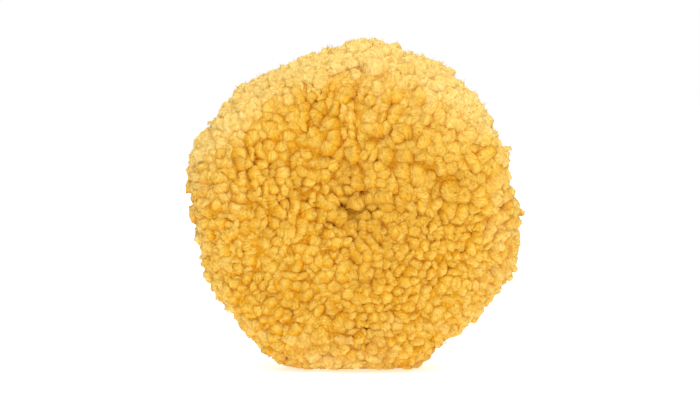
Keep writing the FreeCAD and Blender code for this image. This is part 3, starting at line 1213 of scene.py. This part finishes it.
@dataclass(frozen=True)
class TuftChance:
    """How much tufts of one zone differ from each other by chance."""

    root_turn: float = 0.012
    sunk_share: float = 0.07
    sunk: float = 1.9 * MM
    height_mm: float = 0.7
    tone: float = 0.09
    # Painted shade: a sunk tuft's tone drops, darker for each metre that it is sunk.
    sunk_tone: float = 120.0        # darker for each metre that a tuft is sunk
    size: float = 0.18
    size_limits: tuple[float, float] = (0.65, 1.45)
    stretch: tuple[float, float] = (0.05, 0.32)
    thinned: float = 0.35           # share of tufts that are gone where the wool is fully laid over


@dataclass
class WoolZone:
    """One zone of wool: every tuft between two radii on one side."""

    form: PadForm
    plan: TuftPlan
    span: ZoneSpan
    patterns: dict[TuftKind, list[TuftMesh]]
    finish: bpy.types.Material
    chance: TuftChance = field(default_factory=TuftChance)
    head_drop: float = 0.3 * MM
    fluff: tuple[float, float, float, float] = (0.10, 0.75, 0.35, 0.5)     # all, laid over, top, rim
    most_fluff: float = 0.9
    spread: tuple[float, float, float] = (1.12, 0.25, 0.10)                # all, laid over, top
    laid_shade: float = 0.6
    under_drop: float = 2.3 * MM
    under_swell: float = 2.0 * MM
    under_swell_scale: float = 140.0
    under_lump: float = 1.2 * MM
    under_lump_scale: float = 430.0
    under_least: float = 0.25 * MM
    under_thick: float = 3.0 * MM
    under_step: float = 1.05 * MM
    inner_step: float = 8.0 * MM
    comb_radius: float = 60 * MM
    comb_length: float = 0.35
    give: float = 5.0 * MM          # how far above the floor the wool starts to be pressed
    firm: float = 0.6 * MM

    def __post_init__(self) -> None:
        """Starts the zone's random numbers and its rules for combing and fading."""
        self.side = self.plan.side
        self.rng = random.Random(f"{self.side.word}{self.span.name}")
        self.combing = Combing(self.side)
        self.fading = Fading(self.side, self.form.cloth_radius)
        self.tufts: list[Tuft] = []

    def settle(self, places: list[tuple[float, float]]) -> list[Tuft]:
        """Settles where the zone's tufts stand.

        Args:
            places: Every tuft's place on this side's flattened disc.

        Returns:
            The zone's tufts.
        """
        low, high = self.span.tips
        thinned = self.chance.thinned
        mine = [(x, z) for x, z in places if low <= math.hypot(x, z) < high]
        mine = [(x, z) for x, z in mine if self.rng.random() > thinned * self.combing.laid(x, z)]
        self.tufts = [self.tuft(x, z, i) for i, (x, z) in enumerate(mine)]
        return self.tufts

    def tuft(self, x: float, z: float, number: int) -> Tuft:
        """Settles one tuft.

        Args:
            x: Its place across the flattened disc.
            z: Its place up the flattened disc.
            number: Its number in the zone.

        Returns:
            The tuft.
        """
        rng, chance = self.rng, self.chance
        tip, normal = self.form.surface(x, z, self.side)
        root_turn = rng.gauss(0, chance.root_turn)
        root, root_way = self.form.root(self._root_radius(x, z), math.atan2(z, x) + root_turn, self.side)
        laid = self.combing.laid(x, z)
        top = max(0.0, normal.z)
        lean = self.combing.lean(x, z, normal, rng)
        sunk = chance.sunk if rng.random() < chance.sunk_share else 0.0
        tip = tip - normal * (self.head_drop + sunk + rng.gauss(0, chance.height_mm) * MM)
        # The tone carries painted light: a highlight at the top and round the rim, and shade where the wool
        # opens and on sunk tufts, besides chance.
        tone = self.fading.tone(x, z, normal) + chance.tone * rng.gauss(0, 1) - chance.sunk_tone * sunk
        barriers = self.plan.barriers(x, z, tip)
        base, when_laid, at_top, at_rim = self.fluff
        fluff = min(self.most_fluff, base + when_laid * laid + at_top * top + at_rim * (1.0 - abs(normal.y)))
        smallest, largest = chance.size_limits
        return Tuft(
            root, root_way, tip, (normal + lean).normalized(), rng.uniform(0, math.tau),
            min(max(tone, 0.0), 1.0), number * 13 + 5,
            size=min(max(rng.gauss(1.0, chance.size), smallest), largest),
            spread=self.spread[0] + self.spread[1] * laid + self.spread[2] * top,
            kind=TuftKind.FLUFFY if rng.random() < fluff else TuftKind.PLAIN,
            stretch=0.0 if barriers else rng.uniform(*chance.stretch),
            barriers=barriers,
            shade=1.0 - self.laid_shade * laid,
        )

    def _root_radius(self, x: float, z: float) -> float:
        """How far from the hub's axis a tuft is rooted, in step with its place over the wool."""
        low, high = self.span.tips
        share = min(max((math.hypot(x, z) - low) / (high - low), 0.0), 1.0)
        return self.span.roots[0] + share * (self.span.roots[1] - self.span.roots[0])

    def build(self) -> bpy.types.Object:
        """Makes the zone's wool as one piece.

        Returns:
            The finished piece.
        """
        bm = bmesh.new()
        layout = MapLayout(len(self.tufts))
        grown = []
        for number, tuft in enumerate(self.tufts):
            pattern = self.rng.choice(self.patterns[tuft.kind])
            bm.from_mesh(pattern.mesh)
            grown.append(tuft.grow(pattern, layout.tuft_spots(number, pattern)))
        grown.append(self._underwool(bm, layout))
        name = f"{self.side.word}_{self.span.name}_wool"
        mesh = bpy.data.meshes.new(name)
        bm.to_mesh(mesh)
        bm.free()
        self._write(mesh, grown)
        piece = placed(name, mesh, self.finish)
        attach(piece, BODY)
        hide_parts(f"{self.side.word}_{self.span.name}_tufts")
        log.info("%s: %d tufts, %d faces", name, len(self.tufts), len(mesh.polygons))
        return piece

    def _underwool(self, bm: bmesh.types.BMesh, layout: MapLayout) -> GrownWool:
        """Adds the matted short wool between the tufts, as one thick layer under their cut ends.

        Args:
            bm: The zone's mesh.
            layout: The zone's map.

        Returns:
            The layer in its place.
        """
        mesh = self._under_mesh()
        bm.from_mesh(mesh)
        flat = np.array([v.co[:] for v in mesh.vertices])
        bpy.data.meshes.remove(mesh)
        places, drops, tones = [], [], []
        for x, level, z in flat:
            point, normal = self.form.surface(x, z, self.side)
            swell = self.under_swell * noise.noise(point * self.under_swell_scale)
            lump = self.under_lump * noise.noise(point * self.under_lump_scale)
            drop = max(self.under_drop + swell + lump + self.fading.open(x, z), self.under_least)
            drop += self.plan.pit(x, z)
            places.append((point - normal * (drop + abs(level)))[:])
            drops.append(drop)
            tones.append(self.fading.tone(x, z, normal))
        across = flat[:, [0, 2]]
        way = np.hypot(flat[:, 0], flat[:, 2])
        round_it = across / (way[:, None] + FLAT_ZERO) * self.comb_radius
        yarn = np.column_stack([round_it, way * self.comb_length]) * YARN_SCALE
        spots = layout.under_spots(across, np.abs(flat[:, 1]) > 0.5 * self.under_thick, self.form.reach)
        return GrownWool(np.array(places), np.array(drops), np.array(tones), yarn, spots)

    def _under_mesh(self) -> bpy.types.Mesh:
        """The underwool as a flat closed ring, fine outside and coarse inside."""
        low, high = self.span.tips
        count = round((high - low) / self.under_step)
        few = round((high - low) / self.inner_step)
        inside = -self.side.value * self.under_thick
        section = [(low + (high - low) * i / count, 0.0) for i in range(count + 1)]
        section += [(high - (high - low) * i / few, inside) for i in range(few + 1)]
        facets = round(math.tau * min(high, self.form.radius) / self.under_step)
        return spun_mesh("underwool", section, low > 0.0, facets)

    def _write(self, mesh: bpy.types.Mesh, grown: list[GrownWool]) -> None:
        """Puts the bent places, the material's attributes and the map on the mesh."""
        places = self._on_floor(np.concatenate([g.places for g in grown]))
        mesh.vertices.foreach_set("co", places.astype(np.float32).ravel())
        layers = (("depth", "FLOAT", "value", np.concatenate([g.depth for g in grown]) / DEPTH_UNIT),
                  ("tone", "FLOAT", "value", np.concatenate([g.tone for g in grown])),
                  ("strand", "FLOAT_VECTOR", "vector", np.concatenate([g.yarn for g in grown])))
        for key, kind, field_name, values in layers:
            layer = mesh.attributes.new(key, kind, "POINT")
            layer.data.foreach_set(field_name, values.astype(np.float32).ravel())
        spots = np.concatenate([g.spots for g in grown])
        loops = np.empty(len(mesh.loops), dtype=np.int32)
        mesh.loops.foreach_get("vertex_index", loops)
        mesh.uv_layers.new(name="OFBake").data.foreach_set("uv", spots[loops].astype(np.float32).ravel())
        mesh.update()

    def _on_floor(self, places: np.ndarray) -> np.ndarray:
        """Presses the wool that would pass the floor flat on to it."""
        soft = self.give + self.firm
        above = places[:, 2] - self.form.floor_z
        pressed = soft * np.exp((above - self.give) / soft) - self.firm
        out = places.copy()
        out[:, 2] = self.form.floor_z + np.where(above < self.give, np.maximum(pressed, 0.0), above)
        return out


@dataclass(frozen=True)
class Lock:
    """A drawn-out lock that stands clear of the rim's outline."""

    clock: float        # degrees clockwise from the top, seen from the front
    depth_mm: float     # from the mid-plane, towards the front
    out_mm: float


@dataclass
class RimZone(WoolZone):
    """The rim's wool, which also has a few drawn-out locks."""

    locks: tuple[Lock, ...] = (
        Lock(68, 6.0, 4.5), Lock(91, -4.0, 5.0), Lock(110, 8.0, 4.0), Lock(301, 5.0, 3.0),
        Lock(262, -3.0, 2.6), Lock(24, 2.0, 3.0), Lock(147, 5.0, 2.6), Lock(232, 6.0, 3.0),
        Lock(350, -5.0, 2.6),
    )
    lock_radius: float = 3.0 * MM
    droop: float = 0.35

    def build(self) -> bpy.types.Object:
        """Makes the rim's wool with its locks."""
        self.tufts += self._lock_tufts(len(self.tufts))
        return super().build()

    def _lock_tufts(self, number: int) -> list[Tuft]:
        """The tufts of this side's locks.

        Args:
            number: The first one's number in the zone.

        Returns:
            The tufts.
        """
        extra = []
        for lock in self.locks:
            if (lock.depth_mm >= 0) != (self.side is Side.FRONT):
                continue
            angle = math.radians(90 - lock.clock)
            way = self.form.reach - abs(lock.depth_mm) * MM
            x, z = math.cos(angle) * way, math.sin(angle) * way
            tuft = self.tuft(x, z, number + len(extra))
            _, normal = self.form.surface(x, z, self.side)
            droop = Vector((0, 0, -self.droop))
            tuft.tip = tuft.tip + (normal + droop * 0.5) * lock.out_mm * MM
            tuft.tip_way = (normal + droop).normalized()
            tuft.outline = np.full(OUTLINE_STEPS, self.lock_radius)
            tuft.kind = TuftKind.WISP
            extra.append(tuft)
        return extra


@dataclass
class Wool:
    """All the wool of the pad."""

    form: PadForm
    wisp_rings: tuple[tuple[float, float], ...] = (
        (0.12, 0.34), (0.40, 0.62), (0.95, 0.88), (1.9, 1.05), (4.0, 1.0), (8.0, 0.5),
    )
    seeds: tuple[tuple[TuftKind, int, int], ...] = (
        (TuftKind.PLAIN, 0, 8), (TuftKind.FLUFFY, 20, 28), (TuftKind.WISP, 40, 43),
    )
    hollow_size: float = 0.95
    hub_tip: float = 33.2 * MM
    face_tip: float = 84.0 * MM
    hub_root_inset: float = 0.4 * MM
    washer_clear: float = 2.6 * MM
    face_root_inset: float = 4.4 * MM
    root_step: float = 0.8 * MM
    edge_inset: float = 0.05 * MM

    def spans(self) -> tuple[ZoneSpan, ...]:
        """The three rings of wool that each side has."""
        form = self.form
        hub_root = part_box("front_hub_tufts")[1][0] - self.hub_root_inset
        face_root = self.face_tip - self.face_root_inset
        return (
            ZoneSpan("hub", (0.0, self.hub_tip), (form.washer_radius + self.washer_clear, hub_root)),
            ZoneSpan("face", (self.hub_tip, self.face_tip), (hub_root + self.root_step, face_root)),
            ZoneSpan("rim", (self.face_tip, form.reach),
                     (face_root + self.root_step, form.cloth_radius - self.edge_inset)),
        )

    def make_patterns(self) -> dict[TuftKind, list[TuftMesh]]:
        """Makes the tuft patterns of each kind, from their first seed up to their last."""
        made: dict[TuftKind, list[TuftMesh]] = {}
        for kind, first, end in self.seeds:
            rings = self.wisp_rings if kind is TuftKind.WISP else TuftPattern.rings
            made[kind] = [TuftPattern(kind, seed, rings=rings).build() for seed in range(first, end)]
        return made

    def build(self, finish: bpy.types.Material) -> list[bpy.types.Object]:
        """Makes the six zones.

        Args:
            finish: The wool's material.

        Returns:
            The pieces.
        """
        patterns = self.make_patterns()
        zones, tufts, hollows = [], [], []
        for side in Side:
            plan = TuftPlan(self.form, side)
            places = plan.places()
            hollows += [self.form.surface(gap.x, gap.y, side)[0] for gap in plan.gaps]
            for span in self.spans():
                zone_class = RimZone if span.name == "rim" else WoolZone
                zone = zone_class(self.form, plan, span, patterns, finish)
                tufts += zone.settle(places)
                zones.append(zone)
        Crowd(tufts, hollows, self.hollow_size).press()
        made = [zone.build() for zone in zones]
        for meshes in patterns.values():
            for pattern in meshes:
                bpy.data.meshes.remove(pattern.mesh)
        return made


# Cloth and felt


def ruffle(piece: bpy.types.Object, height: float, scale: float) -> None:
    """Makes a soft layer slightly uneven along Y.

    Args:
        piece: The layer.
        height: The most that a point moves.
        scale: Waves for one metre.
    """
    for vertex in piece.data.vertices:
        vertex.co.y += height * noise.noise(vertex.co * scale)


@dataclass
class BackingCloth:
    """One woven backing disc, its edge folded in round the rim."""

    side: Side
    form: PadForm
    thickness: float = 1.2 * MM
    lip_width: float = 8 * MM
    bore: float = 9.3 * MM
    steps: int = 144
    flat_steps: int = 14
    fold_steps: int = 8
    ripple: float = 0.05 * MM
    ripple_scale: float = 120.0
    slack: float = 0.1 * MM         # kept off the thickness, so that the layer stays clear of its neighbours

    def build(self, finish: bpy.types.Material) -> bpy.types.Object:
        """Makes the cloth as one layer, then gives it its thickness.

        Args:
            finish: The cloth's material.

        Returns:
            The piece.
        """
        form, sign = self.form, self.side.value
        outer = form.cloth_depth - self.thickness / 2
        inner = self.thickness / 2
        fold = (outer - inner) / 2
        fold_r = form.cloth_radius - form.cloth_depth / 2
        count = self.flat_steps
        flat = [self.bore + (fold_r - self.bore) * i / count for i in range(count + 1)]
        section = [(r, sign * outer) for r in flat]
        for i in range(1, self.fold_steps + 1):
            turn = math.pi * i / self.fold_steps
            section.append((fold_r + fold * math.sin(turn), sign * (inner + fold + fold * math.cos(turn))))
        section += [(form.cloth_radius - self.lip_width * share, sign * inner) for share in (0.5, 1.0)]
        name = f"{self.side.word}_woven_backing"
        piece = placed(name, spun_mesh(name, section, False, self.steps), finish)
        ruffle(piece, self.ripple, self.ripple_scale)
        self._solidify(piece)
        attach(piece, BODY)
        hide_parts(f"{self.side.word}_backing_cloth")
        cut = 2 * (form.cloth_radius + self.lip_width)
        log.info("%s: cut %.0f mm across", piece.name, cut / MM)
        return piece

    def _solidify(self, piece: bpy.types.Object) -> None:
        """Gives the layer its thickness, half to each side."""
        modifier = piece.modifiers.new("thickness", "SOLIDIFY")
        modifier.thickness = self.thickness - self.slack
        modifier.offset = 0.0


@dataclass
class FeltCore:
    """The felt between the two cloths."""

    inner_radius: float
    outer_radius: float
    half_depth: float
    steps: int = 128
    flat_steps: int = 12
    corner: float = 0.7 * MM
    slack: float = 0.08 * MM
    ripple: float = 0.05 * MM
    ripple_scale: float = 300.0

    def build(self, finish: bpy.types.Material) -> bpy.types.Object:
        """Makes the felt ring with soft corners.

        Args:
            finish: The felt's material.

        Returns:
            The piece.
        """
        r0, r1, d, c = self.inner_radius, self.outer_radius, self.half_depth - self.slack, self.corner
        count = self.flat_steps
        rows = [r0 + c + (r1 - r0 - 2 * c) * i / count for i in range(count + 1)]
        section = [(r, -d) for r in rows] + [(r1, -d + c), (r1, d - c)]
        section += [(r, d) for r in reversed(rows)] + [(r0, d - c), (r0, -d + c)]
        name = "pressed_felt_core"
        piece = placed(name, spun_mesh(name, section, True, self.steps), finish)
        ruffle(piece, self.ripple, self.ripple_scale)
        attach(piece, BODY)
        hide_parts("felt_core")
        log.info("%s: %.0f mm across", piece.name, 2 * r1 / MM)
        return piece


@dataclass
class Hub:
    """The riveted hub and the threads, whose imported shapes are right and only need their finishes."""

    washer: MetalFinish = field(default_factory=lambda: MetalFinish(
        "zinc_plated_steel", (0.62, 0.63, 0.65), 0.30, (300, 300, 2600), (0.45, 0.43, 0.38)))
    eyelet: MetalFinish = field(default_factory=lambda: MetalFinish(
        "nickel_plated_steel", (0.74, 0.71, 0.64), 0.16, (900, 120, 900), (0.50, 0.44, 0.34)))

    def dress(self) -> None:
        """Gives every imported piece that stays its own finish."""
        thread = ThreadFinish().material()
        board = FibreBoardFinish().material()
        zinc = self.washer.material()
        nickel = self.eyelet.material()
        finishes = {
            "front_hub_washer": zinc, "rear_hub_washer": zinc, "hub_eyelet": nickel, "hub_rivets": nickel,
            "hub_spacer": board, "rim_needle_thread": thread, "rim_bobbin_thread": thread,
            "closing_seam_thread": thread,
        }
        for node, finish in finishes.items():
            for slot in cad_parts[node].material_slots:
                slot.material = finish
            log.info("%s: %s", node, finish.name)


# Studio


@dataclass(frozen=True)
class Softbox:
    """A square soft light that faces the hub."""

    name: str
    place: tuple[float, float, float]
    size: float
    power: float        # watts


@dataclass
class Studio:
    """White paper, soft light from above and in front, and the camera."""

    form: PadForm
    distance: float = 1.153
    lens: float = 85.0
    elevation: float = 5.0
    azimuth: float = 0.0
    aim: tuple[float, float, float] = (-0.0031, 0.0, 0.0066)
    surroundings: float = 0.52
    sensor: float = 36.0
    paper_radius: float = 6.0
    paper_sides: int = 96
    lights: tuple[Softbox, ...] = (
        Softbox("overhead_softbox", (0.10, -0.35, 1.25), 1.5, 14.2),
        Softbox("front_softbox", (-0.35, -1.60, 0.25), 1.4, 5.2),
        Softbox("right_fill", (1.25, -0.7, 0.45), 1.0, 3.0),
        Softbox("rear_softbox", (-0.35, 1.45, 0.95), 1.3, 9.0),
    )

    def build(self) -> None:
        """Sets everything up."""
        self._floor()
        self._world()
        for light in self.lights:
            self._light(light)
        self._camera()
        bpy.context.scene.view_settings.view_transform = "Standard"

    def _floor(self) -> None:
        """A wide sheet of white paper under the pad."""
        bm = bmesh.new()
        bmesh.ops.create_circle(bm, cap_ends=True, segments=self.paper_sides, radius=self.paper_radius)
        bmesh.ops.translate(bm, verts=bm.verts[:], vec=(0, 0, self.form.floor_z))
        mesh = bpy.data.meshes.new("studio_floor")
        bm.to_mesh(mesh)
        bm.free()
        mesh.materials.append(FloorFinish().material())
        floor = bpy.data.objects.new("studio_floor", mesh)
        bpy.context.scene.collection.objects.link(floor)

    def _world(self) -> None:
        """Even surroundings that light the pad less than they show, as a lit white wall does."""
        world = bpy.data.worlds.new("white_studio")
        world.use_nodes = True
        tree = world.node_tree
        background = tree.nodes["Background"]
        background.inputs["Color"].default_value = (1.0, 1.0, 1.0, 1.0)
        seen = tree.nodes.new("ShaderNodeMapRange")
        seen.inputs["To Min"].default_value = self.surroundings
        seen.inputs["To Max"].default_value = 1.0
        tree.links.new(tree.nodes.new("ShaderNodeLightPath").outputs["Is Camera Ray"], seen.inputs["Value"])
        tree.links.new(seen.outputs["Result"], background.inputs["Strength"])
        bpy.context.scene.world = world

    def _light(self, light: Softbox) -> None:
        """Adds one softbox."""
        lamp = bpy.data.lights.new(light.name, "AREA")
        lamp.size = light.size
        lamp.energy = light.power
        holder = bpy.data.objects.new(light.name, lamp)
        holder.location = light.place
        holder.rotation_euler = Vector(light.place).to_track_quat("Z", "Y").to_euler()
        bpy.context.scene.collection.objects.link(holder)

    def _camera(self) -> None:
        """A long lens in front of the pad, a little above its middle."""
        camera = bpy.data.cameras.new("camera")
        camera.lens = self.lens
        camera.sensor_width = self.sensor
        holder = bpy.data.objects.new("camera", camera)
        up, round_it = math.radians(self.elevation), math.radians(self.azimuth)
        back = Vector((math.sin(round_it) * math.cos(up), -math.cos(round_it) * math.cos(up), math.sin(up)))
        holder.location = Vector(self.aim) + back * self.distance
        holder.rotation_euler = back.to_track_quat("Z", "Y").to_euler()
        bpy.context.scene.collection.objects.link(holder)
        bpy.context.scene.camera = holder


def main() -> None:
    """Builds the pad from the inside out, then the studio."""
    logging.basicConfig(level=logging.INFO, format="%(name)s: %(message)s")
    noise.seed_set(NOISE_SEED)
    form = PadForm.from_frame()
    felt_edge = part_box("felt_core")[1]
    spacer_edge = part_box("hub_spacer")[1]
    Hub().dress()
    FeltCore(spacer_edge[0] + SPACER_GAP, felt_edge[0], felt_edge[1]).build(FeltFinish().material())
    cloth = ClothFinish().material()
    for side in Side:
        BackingCloth(side, form).build(cloth)
    Wool(form).build(WoolFinish().material())
    Studio(form).build()


if __name__ == "__main__":
    main()
